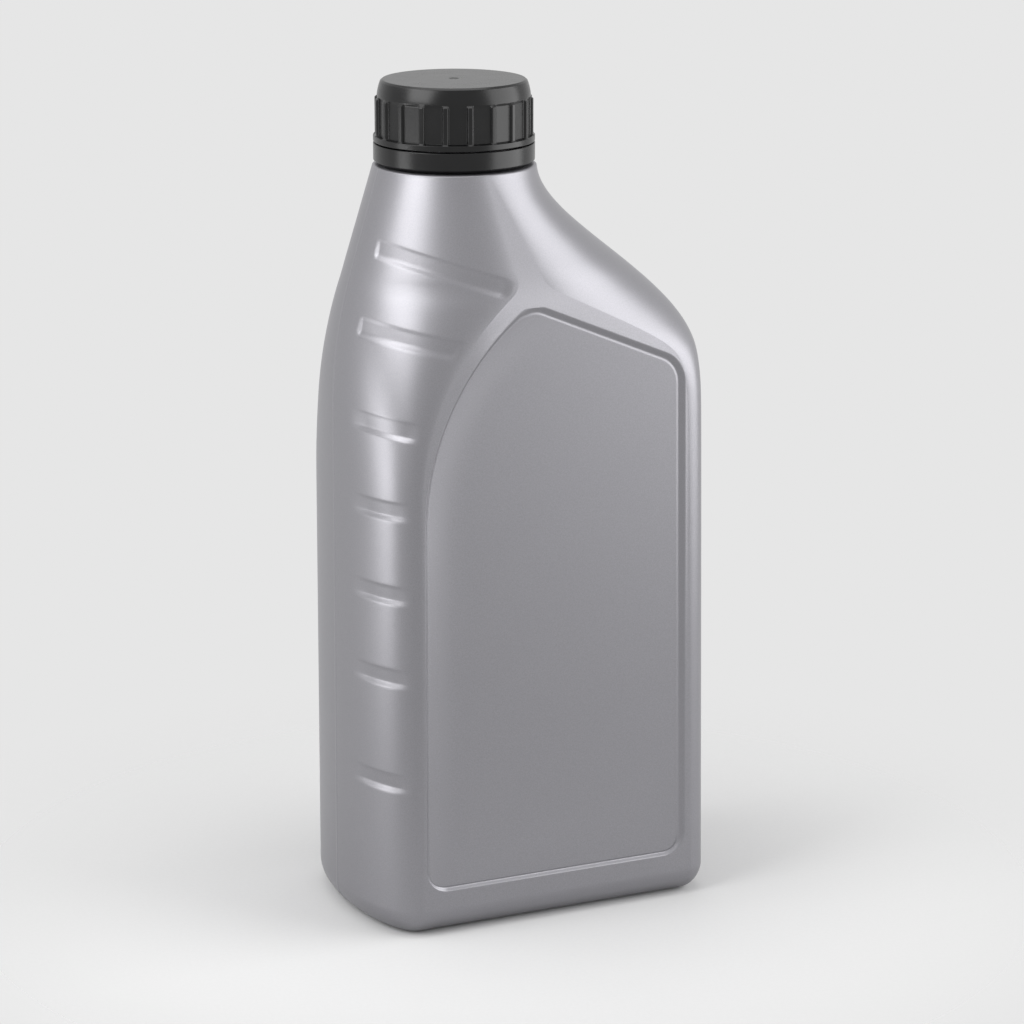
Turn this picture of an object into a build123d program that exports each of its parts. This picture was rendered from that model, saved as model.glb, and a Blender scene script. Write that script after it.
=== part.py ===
"""A one-litre flat bottle with an off-centre neck, a grip side and a screw cap with a tamper band.

Millimetres, +Z up. The origin is under the middle of the body, on the surface it stands on.
The grip and the neck are towards -X and the front face looks along -Y. The back mirrors the front,
without its finger grooves.
"""

import os
from math import atan2, cos, degrees, hypot, radians, sin, sqrt, tan

from build123d import *

# Body: the width is taken at the foot, where it is widest, and the height over the cap
total_height = 232.0
body_width = 102.0
body_depth = 64.0
foot_round = 8.0
wall = 1.2
grip_draft = 0.3
heel_draft = 0.8
heel_round = 7.0
heel_depth = 10.0
heel_tip = 1.0

# Collar, the round ledge below the tamper band
closure_height = 23.4
collar_radius = 22.25
collar_edge = 0.6
collar_step = 0.35
neck_setback = 36.8

# Grip side: upright, then bent inwards until it leans at one angle up to the collar
grip_lean = 16.6
grip_bend = 130.0
grip_oval = 13.4

# Front face: flat up to the apex, then leaning back to the collar
front_lean = 18.5
front_bend = 20.0
face_arc_drop = 86.6
apex_drop = 29.2
apex_offset = 5.1

# Shoulder: the ridge runs from the heel side to the collar in one S, the crease falls along a line
ridge_drop = 52.8
ridge_skew = 1.18
crease_slope = 25.5
crease_drop = 37.75
crease_offset = 31.8
crease_corner = 5.2
shoulder_drop = 61.6
shoulder_skew = 1.8
seam_flat = 0.8

# Label panel, sunk into the flat of both faces
panel_depth = 0.9
panel_pad = 0.25
panel_pad_gap = 0.5
panel_run = 1.3
panel_lip = 0.5
panel_left_gap = 0.4
panel_right_gap = 1.75
panel_bottom = 12.9
panel_top_gap = 5.3
panel_arc_growth = 2.2
panel_arc_drop = 93.6
panel_foot_corner = 6.5
panel_apex_corner = 8.0
panel_heel_corner = 9.5

# Finger grooves across the front grip corner: share of the collar height, tilt and turn at the end
grooves = (
    (0.909, 18.5, 84),
    (0.81, 12.5, 82),
    (0.693, 9.0, 76),
    (0.581, 0.0, 74),
    (0.469, 0.0, 74),
    (0.357, 0.0, 74),
    (0.214, 0.0, 74),
)
groove_start = 17
groove_height = 5.6
groove_floor = 3.2
groove_depth = 1.1
groove_end_depth = 0.35
groove_rim = 0.2
grip_backing = 0.8

# Base
push_up = 2.5
push_up_inset = 13.0
push_up_run = 2.0
push_up_corner = 9.0

# Neck finish
neck_radius = 17.9
bore_radius = 15.4
rim_chamfer = 0.5
bead_radius = 19.3
bead_land = 0.8

# Cap and tamper band
cap_top_radius = 19.9
cap_edge_round = 0.5
cap_bevel = 4.8
cap_inner_radius = 19.75
cap_top = 1.8
rib_radius = 21.5
rib_count = 20
rib_start = 6.2
rib_width = 1.6
rib_floor = 0.7
flange_radius = 21.9
flange_height = 1.75
band_height = 5.4
band_round = 0.8
band_inner_radius = 20.0
band_lip_radius = 18.6
band_lip_height = 1.6
liner_thickness = 1.0

# Clearances between pieces that move on each other
band_clear = 0.4
bead_clear = 0.5
cap_clear = 0.35
liner_clear = 0.35
seal_gap = 0.3

half_width = body_width / 2
half_depth = body_depth / 2
neck_x = -half_width + neck_setback
collar_height = total_height - closure_height
face_left = -half_width + grip_oval
face_arc_foot = collar_height - face_arc_drop
apex_height = collar_height - apex_drop
ridge_foot = collar_height - ridge_drop
shoulder_foot = collar_height - shoulder_drop
crease_x = neck_x + crease_offset
arc_run = neck_x + apex_offset - face_left
face_arc_radius = (arc_run**2 + (apex_height - face_arc_foot) ** 2) / (2 * arc_run)
panel_arc_radius = face_arc_radius + panel_arc_growth
panel_arc_foot = collar_height - panel_arc_drop
collar_top = collar_height + collar_edge
band_foot = collar_top + band_clear
bead_foot = band_foot + band_lip_height + bead_clear
cap_foot = band_foot + band_height + cap_clear
rim_height = total_height - cap_top - liner_thickness - seal_gap
neck_axis = Axis((neck_x, 0, 0), (0, 0, 1))
neck_plane = Plane.XZ.shift_origin((neck_x, 0, 0))


def lean_in(height, foot, bend, lean):
    """How far a wall that is upright below its foot has come in, bending until it leans at that angle."""
    rise = height - foot
    if rise <= 0:
        return 0.0
    bend_rise = bend * sin(radians(lean))
    if rise < bend_rise:
        return bend - sqrt(bend**2 - rise**2)
    return bend * (1 - cos(radians(lean))) + (rise - bend_rise) * tan(radians(lean))


def lean_foot(total, bend, lean):
    """The foot of such a wall that has come in by the total at the collar."""
    straight = (total - bend * (1 - cos(radians(lean)))) / tan(radians(lean))
    return collar_height - bend * sin(radians(lean)) - straight


def ease(share):
    return share * share * (3 - 2 * share)


def grip_side(height):
    upright = -half_width + (height - foot_round) * tan(radians(grip_draft))
    top = -half_width + (collar_height - foot_round) * tan(radians(grip_draft))
    foot = lean_foot(neck_x - collar_radius - top, grip_bend, grip_lean)
    return upright + lean_in(height, foot, grip_bend, grip_lean)


def heel_upright(height):
    return half_width - (height - foot_round) * tan(radians(heel_draft))


def heel_side(height):
    share = max(0.0, (height - ridge_foot) / (collar_height - ridge_foot))
    blend = ease(share**ridge_skew)
    return heel_upright(height) * (1 - blend) + (neck_x + collar_radius) * blend


def face_side(height):
    foot = lean_foot(half_depth - collar_radius, front_bend, front_lean)
    return half_depth - lean_in(height, foot, front_bend, front_lean)


def crease_line(height):
    """X of the slanted crease above the flat of the face."""
    return crease_x + (collar_height - crease_drop - height) / tan(radians(crease_slope))


def face_span(height):
    """Where the flat of a section starts and ends in X."""
    level = min(height, apex_height)
    left = face_left
    if level > face_arc_foot:
        left += face_arc_radius - sqrt(face_arc_radius**2 - (level - face_arc_foot) ** 2)
    side = heel_upright(level) - heel_round
    line = crease_line(level)
    right = (side + line) / 2 - sqrt((side - line) ** 2 / 4 + crease_corner**2)
    if height > apex_height:
        share = (height - apex_height) / (collar_height - apex_height)
        left += (neck_x - seam_flat / 2 - left) * share
        right += (neck_x + seam_flat / 2 - right) * share
    return left, right


def corner_depth(height):
    """How much of the half depth the rounded heel corner takes, all of it from the apex up."""
    share = (height - shoulder_foot) / (apex_height - shoulder_foot)
    share = min(1.0, max(0.0, share))
    return heel_depth + (half_depth - heel_depth) * share**shoulder_skew


def slice_at(height, level, inset, backing):
    """A section of the body at the level, drawn at the height and smaller by the inset all round."""
    left, right = face_span(level)
    grip = grip_side(level) + inset + backing
    heel = heel_side(level) - inset
    right = min(right, heel - heel_tip)
    deep = face_side(level) - inset
    corner = min(corner_depth(level) - inset, deep - seam_flat / 2)
    flat = deep - corner
    with BuildSketch(Plane.XY.offset(height)) as cut:
        with BuildLine():
            Line((left, -deep), (right, -deep))
            EllipticalCenterArc((right, -flat), heel - right, corner, 270, arc_size=90)
            Line((heel, -flat), (heel, flat))
            EllipticalCenterArc((right, flat), heel - right, corner, 0, arc_size=90)
            Line((right, deep), (left, deep))
            EllipticalCenterArc((left, 0), left - grip, deep, 90, arc_size=90)
            EllipticalCenterArc((left, 0), left - grip, deep, 180, arc_size=90)
        make_face()
    return cut.sketch


def body_form(inset, backing):
    """The body from its foot to the collar, as a rounded foot, a straight middle and the shoulder."""
    foot_turns = (0, 22.5, 45, 67.5, 90)
    face_shares = (0, 0.02, 0.08, 0.18, 0.32, 0.46, 0.6, 0.72, 0.82, 0.91, 0.97, 1)
    neck_shares = (0.08, 0.2, 0.38, 0.56, 0.74, 0.88, 0.96, 1)
    turn_radius = foot_round - inset
    levels = [face_arc_foot + (apex_height - face_arc_foot) * share for share in face_shares]
    levels += [apex_height + (collar_height - apex_height) * share for share in neck_shares]
    with BuildPart() as form:
        rounded = []
        for turn in foot_turns:
            rise = inset + turn_radius * (1 - cos(radians(turn)))
            shrink = inset + turn_radius * (1 - sin(radians(turn)))
            rounded.append(slice_at(rise, foot_round, shrink, backing))
        loft(rounded)
        shoulder = [slice_at(level - inset, level, inset, backing) for level in levels]
        loft([rounded[-1], shoulder[0]], ruled=True)
        loft(shoulder)
    return form.part


def panel_sketch(grow):
    """The label panel's outline on the front plane, larger by the given growth."""
    left = face_left + panel_left_gap
    foot_right = heel_upright(panel_bottom) - heel_round - panel_right_gap
    slope = tan(radians(crease_slope))
    top_at_crease = collar_height - crease_drop - panel_top_gap
    corner_z = top_at_crease
    for _ in range(6):
        right = heel_upright(corner_z) - heel_round - panel_right_gap
        corner_z = top_at_crease - slope * (right - crease_x)
    arc_x = left + panel_arc_radius
    # the slanted top edge meets the left arc where both heights agree
    rise = top_at_crease + slope * (crease_x - arc_x) - panel_arc_foot
    run = (-rise * slope + sqrt((1 + slope**2) * panel_arc_radius**2 - rise**2)) / (1 + slope**2)
    apex_x = arc_x - run
    apex_z = top_at_crease - slope * (apex_x - crease_x)
    with BuildSketch(Plane.XZ.offset(half_depth)) as panel:
        with BuildLine():
            Line((left, panel_bottom), (foot_right, panel_bottom))
            Line((foot_right, panel_bottom), (right, corner_z))
            Line((right, corner_z), (apex_x, apex_z))
            RadiusArc((apex_x, apex_z), (left, panel_arc_foot), -panel_arc_radius)
            Line((left, panel_arc_foot), (left, panel_bottom))
        make_face()
        fillet(panel.vertices().sort_by_distance((right, corner_z))[0], panel_heel_corner)
        fillet(panel.vertices().sort_by_distance((apex_x, apex_z))[0], panel_apex_corner)
        fillet(panel.vertices().sort_by(Axis.Y)[:2], panel_foot_corner)
        if grow:
            offset(amount=grow)
    return panel.sketch


def groove_sketch(share, tilt, end_turn, lift, shift):
    """A slice of one groove's cutter: outside the body, and in by the groove's depth less the shift."""
    start_level = share * collar_height
    start_x = grip_side(start_level)

    def grip_point(turn, depth):
        # the point of the grip oval that lies in the tilted slice, moved inwards by the depth
        level = start_level
        for _ in range(6):
            left, deep = face_span(level)[0], face_side(level)
            oval = left - grip_side(level)
            x = left - oval * cos(radians(turn))
            level = start_level + lift / cos(radians(tilt)) - (x - start_x) * tan(radians(tilt))
        normal_x, normal_y = cos(radians(turn)) / oval, sin(radians(turn)) / deep
        size = hypot(normal_x, normal_y)
        x += depth * normal_x / size
        y = -deep * sin(radians(turn)) + depth * normal_y / size
        return ((x - start_x) / cos(radians(tilt)) - lift * tan(radians(tilt)), y)

    middle_turn = (groove_start + end_turn) / 2
    plane = Plane((start_x, 0, start_level), x_dir=(cos(radians(tilt)), 0, -sin(radians(tilt))),
                  z_dir=(sin(radians(tilt)), 0, cos(radians(tilt))))
    inner = [
        grip_point(groove_start, groove_end_depth - shift),
        grip_point(middle_turn, groove_depth - shift),
        grip_point(end_turn, -groove_rim - shift),
    ]
    outside = 4 * groove_depth
    with BuildSketch(plane.offset(lift)) as cut:
        with BuildLine():
            ThreePointArc(*inner)
            Line(inner[2], grip_point(end_turn, -outside))
            ThreePointArc(grip_point(end_turn, -outside), grip_point(middle_turn, -outside),
                          grip_point(groove_start, -outside))
            Line(grip_point(groove_start, -outside), inner[0])
        make_face()
    return cut.sketch


with BuildPart() as groove_cutters:
    for share, tilt, end_turn in grooves:
        steps = (
            (-groove_height / 2, groove_depth + groove_rim),
            (-groove_floor / 2, 0),
            (groove_floor / 2, 0),
            (groove_height / 2, groove_depth + groove_rim),
        )
        loft([groove_sketch(share, tilt, end_turn, lift, shift) for lift, shift in steps], ruled=True)

with BuildPart() as panel_cutters:
    grown = panel_sketch(panel_lip * panel_run / panel_depth)
    panel_taper = degrees(atan2(panel_run, panel_depth))
    extrude(grown.moved(Location((0, -panel_lip, 0))), amount=-panel_lip - panel_depth, taper=panel_taper)
    pad = panel_sketch(-panel_run - panel_pad_gap)
    extrude(pad.moved(Location((0, panel_depth, 0))), amount=panel_pad, mode=Mode.SUBTRACT)
    mirror(about=Plane.XZ)

with BuildPart() as panel_backing:
    extrude(panel_sketch(0), amount=-panel_depth - wall)
    mirror(about=Plane.XZ)

with BuildPart() as push_up_cutter:
    with BuildSketch(Plane.XY.offset(-push_up)):
        RectangleRounded(body_width - 2 * push_up_inset, body_depth - 2 * push_up_inset, push_up_corner)
    extrude(amount=2 * push_up, taper=degrees(atan2(push_up_run, push_up)))

with BuildPart() as neck_finish:
    with BuildSketch(neck_plane):
        with BuildLine():
            Polyline((0, collar_height - wall), (collar_radius - collar_step, collar_height - wall),
                     (collar_radius - collar_step, collar_height),
                     (collar_radius - collar_step - collar_edge, collar_top), (neck_radius, collar_top),
                     (neck_radius, bead_foot), (bead_radius, bead_foot),
                     (bead_radius, bead_foot + bead_land),
                     (neck_radius, bead_foot + bead_land + bead_radius - neck_radius),
                     (neck_radius, rim_height - rim_chamfer), (neck_radius - rim_chamfer, rim_height),
                     (0, rim_height), (0, collar_height - wall))
        make_face()
    revolve(axis=neck_axis)

with BuildPart() as cavity:
    add(body_form(wall, grip_backing))
    add(panel_backing.part, mode=Mode.SUBTRACT)
    add(push_up_cutter.part.moved(Location((0, 0, wall))), mode=Mode.SUBTRACT)
    with Locations((neck_x, 0, collar_height - 2 * wall)):
        Cylinder(bore_radius, rim_height - collar_height + 3 * wall,
                 align=(Align.CENTER, Align.CENTER, Align.MIN))

with BuildPart() as bottle:
    add(body_form(0, 0))
    add(neck_finish.part)
    add(cavity.part, mode=Mode.SUBTRACT)
    add(panel_cutters.part, mode=Mode.SUBTRACT)
    add(groove_cutters.part, mode=Mode.SUBTRACT)
    add(push_up_cutter.part, mode=Mode.SUBTRACT)

with BuildPart() as cap:
    bevel_foot = total_height - cap_bevel
    flange_top = cap_foot + flange_height
    with BuildSketch(neck_plane):
        with BuildLine():
            Polyline((0, total_height), (cap_top_radius - cap_edge_round, total_height))
            edge = RadiusArc((cap_top_radius - cap_edge_round, total_height),
                             (cap_top_radius, total_height - cap_edge_round), cap_edge_round)
            Polyline(edge @ 1, (rib_radius - rib_floor, bevel_foot),
                     (rib_radius - rib_floor, flange_top), (flange_radius, flange_top),
                     (flange_radius, cap_foot), (cap_inner_radius, cap_foot),
                     (cap_inner_radius, total_height - cap_top), (0, total_height - cap_top),
                     (0, total_height))
        make_face()
    revolve(axis=neck_axis)
    with BuildSketch(Plane((neck_x, 0, flange_top))):
        with PolarLocations(rib_radius - rib_floor, rib_count, start_angle=rib_start):
            Rectangle(2 * rib_floor, rib_width)
    extrude(amount=bevel_foot - flange_top)

with BuildPart() as tamper_band:
    band_top = band_foot + band_height
    with BuildSketch(neck_plane):
        with BuildLine():
            Polyline((band_lip_radius, band_foot), (flange_radius - band_round, band_foot),
                     (flange_radius, band_foot + band_round), (flange_radius, band_top),
                     (band_inner_radius, band_top), (band_inner_radius, band_foot + band_lip_height),
                     (band_lip_radius, band_foot + band_lip_height), (band_lip_radius, band_foot))
        make_face()
    revolve(axis=neck_axis)

with BuildPart() as cap_liner:
    with Locations((neck_x, 0, total_height - cap_top)):
        Cylinder(cap_inner_radius - liner_clear, liner_thickness,
                 align=(Align.CENTER, Align.CENTER, Align.MAX))

os.makedirs("parts", exist_ok=True)
bottle.part.label = "bottle"
cap.part.label = "cap"
tamper_band.part.label = "tamper_band"
cap_liner.part.label = "cap_liner"
export_step(bottle.part, "parts/bottle.step")
export_step(cap.part, "parts/cap.step")
export_step(tamper_band.part, "parts/tamper_band.step")
export_step(cap_liner.part, "parts/cap_liner.step")
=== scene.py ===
"""The looks of the flat fluid bottle: a satin silver skin, a ribbed black cap and a soft studio around them.

Metres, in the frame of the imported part. The skin follows the same formulas as the part's solid, but finer,
with rounded groove and panel edges, and it carries the threads that the solids leave out.
"""

from math import atan2, cos, pi, radians, sin, sqrt, tan

import bpy
import numpy as np
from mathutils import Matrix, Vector
from mathutils.geometry import tessellate_polygon


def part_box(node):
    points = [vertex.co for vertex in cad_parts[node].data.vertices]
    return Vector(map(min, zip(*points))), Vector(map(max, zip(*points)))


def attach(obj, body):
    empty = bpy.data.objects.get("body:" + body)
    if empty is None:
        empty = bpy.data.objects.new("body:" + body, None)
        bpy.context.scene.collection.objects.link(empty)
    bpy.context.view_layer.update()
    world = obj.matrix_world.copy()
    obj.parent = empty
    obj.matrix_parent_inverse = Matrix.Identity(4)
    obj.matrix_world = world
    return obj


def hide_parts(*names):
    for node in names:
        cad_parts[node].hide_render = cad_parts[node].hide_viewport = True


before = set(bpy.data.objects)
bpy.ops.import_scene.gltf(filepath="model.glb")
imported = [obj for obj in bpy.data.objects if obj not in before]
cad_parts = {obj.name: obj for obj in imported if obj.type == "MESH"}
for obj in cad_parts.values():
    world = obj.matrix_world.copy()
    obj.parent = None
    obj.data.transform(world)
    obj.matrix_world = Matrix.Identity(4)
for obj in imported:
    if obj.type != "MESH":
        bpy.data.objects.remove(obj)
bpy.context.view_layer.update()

# Places that the frame gives
bottle_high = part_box("bottle")[1]
cap_low, cap_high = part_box("cap")
band_low, band_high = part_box("tamper_band")
liner_low, liner_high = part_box("cap_liner")
half_width = bottle_high.x
half_depth = bottle_high.y
rim_height = bottle_high.z
total_height = cap_high.z
neck_x = (cap_low.x + cap_high.x) / 2
cap_foot = cap_low.z
flange_radius = (cap_high.x - cap_low.x) / 2

# Body, as the part has it
foot_round = 0.008
wall = 0.0012
grip_draft = 0.3
heel_draft = 0.8
heel_round = 0.007
heel_depth = 0.010
heel_tip = 0.001
closure_height = 0.0234
collar_radius = 0.02225
collar_edge = 0.0006
collar_step = 0.00035
grip_lean = 16.6
grip_bend = 0.130
grip_oval = 0.0134
front_lean = 18.5
face_arc_drop = 0.0866
apex_drop = 0.0292
apex_offset = 0.0051
ridge_drop = 0.0528
ridge_skew = 1.18
crease_slope = 25.5
crease_drop = 0.03775
crease_offset = 0.0318
crease_corner = 0.0052
shoulder_drop = 0.0616
shoulder_skew = 1.8
seam_flat = 0.0008

# The skin's own softening of the body
front_bend = 0.032
apex_soften = 0.0018
shoulder_soften = 0.009
crease_run = 0.012
border_tilt = 9
border_way = (0.45, 0.0, 0.9)
border_fade = 0.012
border_start = -0.025
parting_height = 0.00012
parting_width = 0.0004

# Label panel, with softened edges, a thin pad and a wide cove along its left edge
panel_depth = 0.0009
panel_start = -0.00035
panel_run = 0.0013
panel_pad_gap = 0.0005
panel_pad = 0.00012
panel_floor_run = 0.0006
panel_left_gap = 0.0004
panel_right_gap = 0.00175
panel_bottom = 0.0129
panel_top_gap = 0.0053
panel_top_slope = 23.2
panel_arc_growth = 0.0022
panel_arc_drop = 0.0936
panel_foot_corner = 0.0065
panel_apex_corner = 0.008
panel_heel_corner = 0.0095
panel_cove = 0.010
panel_cove_share = 0.65
panel_cove_shade = 2.2
edge_soften = 0.00022

# The panel's wall is narrower on its left and at its foot: the shares of its width that stay there, and how far
# its way out turns to the left or down where the narrowing starts and where it is full
panel_left_run = 0.34
panel_foot_run = 0.55
left_facing = (0.3, 0.95)
foot_facing = (0.3, 0.9)

# Finger grooves of the front: share of the collar height, tilt, turn at the end, run-in and run-out
grooves = (
    (0.909, 18.5, 88, 3, 5),
    (0.81, 12.5, 85, 3, 6),
    (0.693, 9.0, 80, 16, 16),
    (0.581, 0.0, 78, 20, 20),
    (0.469, 0.0, 78, 20, 20),
    (0.357, 0.0, 78, 20, 20),
    (0.214, 0.0, 78, 20, 20),
)
groove_start = 17
groove_height = 0.0056
groove_lip = 0.0014
groove_step = 0.0007
groove_step_share = 0.35
groove_depth = 0.00052
groove_soften = 0.0002

# Base
push_up = 0.0025
push_up_inset = 0.013
push_up_run = 0.002
push_up_corner = 0.009
push_up_start = -0.0006
push_up_floor_run = 0.0008

# Neck finish and its thread, which is sunk a little into the wall that carries it
neck_radius = 0.0179
bore_radius = 0.0154
bore_drop = 0.002
bead_radius = 0.0193
bead_land = 0.0008
bead_rise = 0.0021
thread_pitch = 0.004
thread_turns = 2.4
thread_rise = 0.0045
thread_crest = 0.0012
thread_half = 0.0009
thread_sink = 0.0001
thread_run_out = 0.5
thread_flank = 0.55

# Cap, with the mark of the gate in the middle of its top, and the tamper band
cap_top_radius = 0.0199
cap_top_inset = 0.0006
cap_edge_round = 0.0005
cap_bevel = 0.0048
cap_bevel_skew = 1.8
cap_inner_radius = 0.01975
bevel_seam_drop = 0.0009
flange_seam_rise = 0.0006
gate_radius = 0.0011
gate_slope = 0.0004
gate_depth = 0.00015
rib_radius = 0.0215
rib_count = 20
rib_start = 6.2
rib_width = 0.0016
rib_floor = 0.0007
rib_soften = 0.00022
flange_height = 0.00175
band_inner_radius = 0.020
band_lip_radius = 0.0186
band_lip_height = 0.0016
band_round = 0.0008

# Roundings of turned edges
wide_round = 0.0005
soft_round = 0.0004
small_round = 0.0003
fine_round = 0.0002

# How fine the meshes are
row_step = 0.00045
row_group = 3
grip_columns = 64
grip_crowding = 1.25
strip_columns = 11
corner_columns = 15
heel_columns = 11
heel_near_share = 0.6
heel_near_reach = 4 * parting_width
foot_rows = 15
collar_rows = 9
inside_rows = 60
inside_columns = 24
foot_arc_points = 13
heel_arc_points = 15
apex_arc_points = 19
long_arc_points = 90
profile_step = 0.00002
profile_group = 6
profile_slack = 1e-9
field_rings = 7
ring_segments = 144
fillet_steps = 5
thread_segments = 96
thread_columns = 13
cap_rows = 34
cap_edge_rows = 13
cap_edge_reach = 0.0008
cap_row_digits = 7
rib_columns = 32
axis_radius = 0.00001

# How closely the formulas are averaged, solved and welded
apex_samples = 9
shoulder_samples = 17
tilt_rounds = 8
row_rounds = 6
slope_step = 1e-6
weld_step = 2e-7
same_place = 1e-7
least_length = 1e-30

# Places that follow from the sizes
collar_height = total_height - closure_height
collar_top = collar_height + collar_edge
face_left = -half_width + grip_oval
face_arc_foot = collar_height - face_arc_drop
apex_height = collar_height - apex_drop
ridge_foot = collar_height - ridge_drop
crease_height = collar_height - crease_drop
crease_x = neck_x + crease_offset
shoulder_foot = collar_height - shoulder_drop
arc_run = neck_x + apex_offset - face_left
face_arc_radius = (arc_run**2 + (apex_height - face_arc_foot) ** 2) / (2 * arc_run)
panel_left = face_left + panel_left_gap
panel_arc_foot = collar_height - panel_arc_drop
panel_arc_radius = face_arc_radius + panel_arc_growth
bore_foot = collar_height - bore_drop
bead_foot = band_low.z + bead_rise
thread_foot = bead_foot + thread_rise
bevel_foot = total_height - cap_bevel
bevel_seam = total_height - bevel_seam_drop
recess_radius = rib_radius - rib_floor
flange_top = cap_foot + flange_height
flange_seam = cap_foot + flange_seam_rise
rib_pitch = 2 * pi / rib_count
core_x = -half_width / 5
mirror_y = np.array([1.0, -1.0, 1.0])


class Skin:
    """Gathers patches with their own normals and welds them into one mesh."""

    def __init__(self):
        self.points, self.normals, self.faces = [], [], []
        self.count = 0

    def add(self, points, normals, faces):
        self.points.append(points.reshape(-1, 3))
        self.normals.append(normals.reshape(-1, 3))
        # a triangle is kept as a quad whose last corner is used twice
        faces = np.array([tuple(face) + tuple(face[2:]) * (4 - len(face)) for face in faces])
        self.faces.append(faces + self.count)
        self.count += points.reshape(-1, 3).shape[0]

    def grid(self, points, normals, closed=False):
        rows, columns = points.shape[:2]
        here = np.arange(rows * columns).reshape(rows, columns)
        beside = np.roll(here, -1, axis=1)
        if not closed:
            here, beside = here[:, :-1], beside[:, :-1]
        quads = np.stack([here[:-1], beside[:-1], beside[1:], here[1:]], axis=-1)
        self.add(points, normals, quads.reshape(-1, 4))

    def build(self, name):
        points, normals = np.concatenate(self.points), np.concatenate(self.normals)
        faces = np.concatenate(self.faces)
        keys = np.round(points / weld_step).astype(np.int64)
        _, first, welded = np.unique(keys, axis=0, return_index=True, return_inverse=True)
        welded = welded.reshape(-1)
        corners = points[faces]
        facing = np.cross(corners[:, 2] - corners[:, 0], corners[:, 3] - corners[:, 1])
        turned = (facing * normals[faces].sum(axis=1)).sum(axis=1) < 0
        faces[turned] = faces[turned, ::-1]
        fresh = welded[faces] != np.roll(welded[faces], 1, axis=1)
        kept = [face[new] for face, new in zip(faces, fresh) if new.sum() > 2]
        mesh = bpy.data.meshes.new(name)
        mesh.from_pydata(points[first].tolist(), [], [welded[face].tolist() for face in kept])
        mesh.shade_smooth()
        mesh.normals_split_custom_set(normals[np.concatenate(kept)].tolist())
        made = bpy.data.objects.new(name, mesh)
        bpy.context.scene.collection.objects.link(made)
        return made


def unit(vectors):
    length = np.linalg.norm(vectors, axis=-1, keepdims=True)
    return vectors / np.maximum(length, least_length)


def smooth(share):
    """An S from nought to one."""
    share = np.clip(share, 0.0, 1.0)
    return share * share * (3 - 2 * share)


def eased(value, low, high):
    return smooth((value - low) / (high - low))


def step_mask(value, edge, soften):
    return smooth((value - edge) / (2 * soften) + 0.5)


def soft_positive(value, soften):
    return (value + np.sqrt(value**2 + soften**2)) / 2


def patch(place, across, along, inside, facing=1):
    """Points and normals of a surface.

    The normals look away from the inside, or towards it if facing is -1.
    """
    u, v = np.meshgrid(across, along)
    points = place(u, v)
    du = place(u + slope_step, v) - place(u - slope_step, v)
    dv = place(u, v + slope_step) - place(u, v - slope_step)
    normals = unit(np.cross(du, dv))
    away = (normals * (points - inside(points))).sum(axis=-1, keepdims=True)
    return points, normals * np.where(away < 0, -1, 1) * facing


# Sections of the body, for arrays of heights


def lean_in(height, foot, bend, lean):
    rise = np.maximum(height - foot, 0.0)
    bend_rise = bend * sin(radians(lean))
    curved = bend - np.sqrt(bend**2 - np.minimum(rise, bend_rise) ** 2)
    return curved + np.maximum(rise - bend_rise, 0.0) * tan(radians(lean))


def lean_foot(total, bend, lean):
    straight = (total - bend * (1 - cos(radians(lean)))) / tan(radians(lean))
    return collar_height - bend * sin(radians(lean)) - straight


def grip_side(height):
    upright = -half_width + (height - foot_round) * tan(radians(grip_draft))
    top = -half_width + (collar_height - foot_round) * tan(radians(grip_draft))
    foot = lean_foot(neck_x - collar_radius - top, grip_bend, grip_lean)
    return upright + lean_in(height, foot, grip_bend, grip_lean)


def heel_upright(height):
    return half_width - (height - foot_round) * tan(radians(heel_draft))


def heel_side(height):
    share = np.clip((height - ridge_foot) / (collar_height - ridge_foot), 0.0, 1.0)
    blend = smooth(share**ridge_skew)
    return heel_upright(height) * (1 - blend) + (neck_x + collar_radius) * blend


front_foot = lean_foot(half_depth - collar_radius, front_bend, front_lean)


def face_side(height):
    return half_depth - lean_in(height, front_foot, front_bend, front_lean)


def sharp_span(height):
    """Where the flat of a section starts and ends in X, with a corner at the apex."""
    level = np.minimum(height, apex_height)
    rise = np.maximum(level - face_arc_foot, 0.0)
    left = face_left + face_arc_radius - np.sqrt(face_arc_radius**2 - rise**2)
    side = heel_upright(level) - heel_round
    line = crease_x + (crease_height - level) / tan(radians(crease_slope))
    right = (side + line) / 2 - np.sqrt((side - line) ** 2 / 4 + crease_corner**2)
    share = np.maximum(height - apex_height, 0.0) / (collar_height - apex_height)
    left = left + (neck_x - seam_flat / 2 - left) * share
    right = right + (neck_x + seam_flat / 2 - right) * share
    return left, right


def face_span(height):
    """The same with the corner at the apex softened."""
    shifts = np.linspace(-apex_soften, apex_soften, apex_samples)
    lefts, rights = zip(*(sharp_span(height + shift) for shift in shifts))
    return sum(lefts) / apex_samples, sum(rights) / apex_samples


def heel_flat(height):
    """Half the width of the flat of the heel, which runs out softly at the apex."""
    total = 0.0
    for shift in np.linspace(-shoulder_soften, shoulder_soften, shoulder_samples):
        share = np.clip((height + shift - shoulder_foot) / (apex_height - shoulder_foot), 0.0, 1.0)
        total = total + np.maximum((half_depth - heel_depth) * (1 - share**shoulder_skew), seam_flat / 2)
    return total / shoulder_samples


def section(level, inset):
    """The lines that bound a section: left, right, grip, heel, depth and the heel corner's depth."""
    left, right = face_span(level)
    grip = grip_side(level) + inset
    heel = heel_side(level) - inset
    deep = face_side(level) - inset
    right = np.minimum(right, heel - heel_tip)
    corner = deep - heel_flat(level)
    return left, right, grip, heel, deep, corner


# The grip with its grooves


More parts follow.
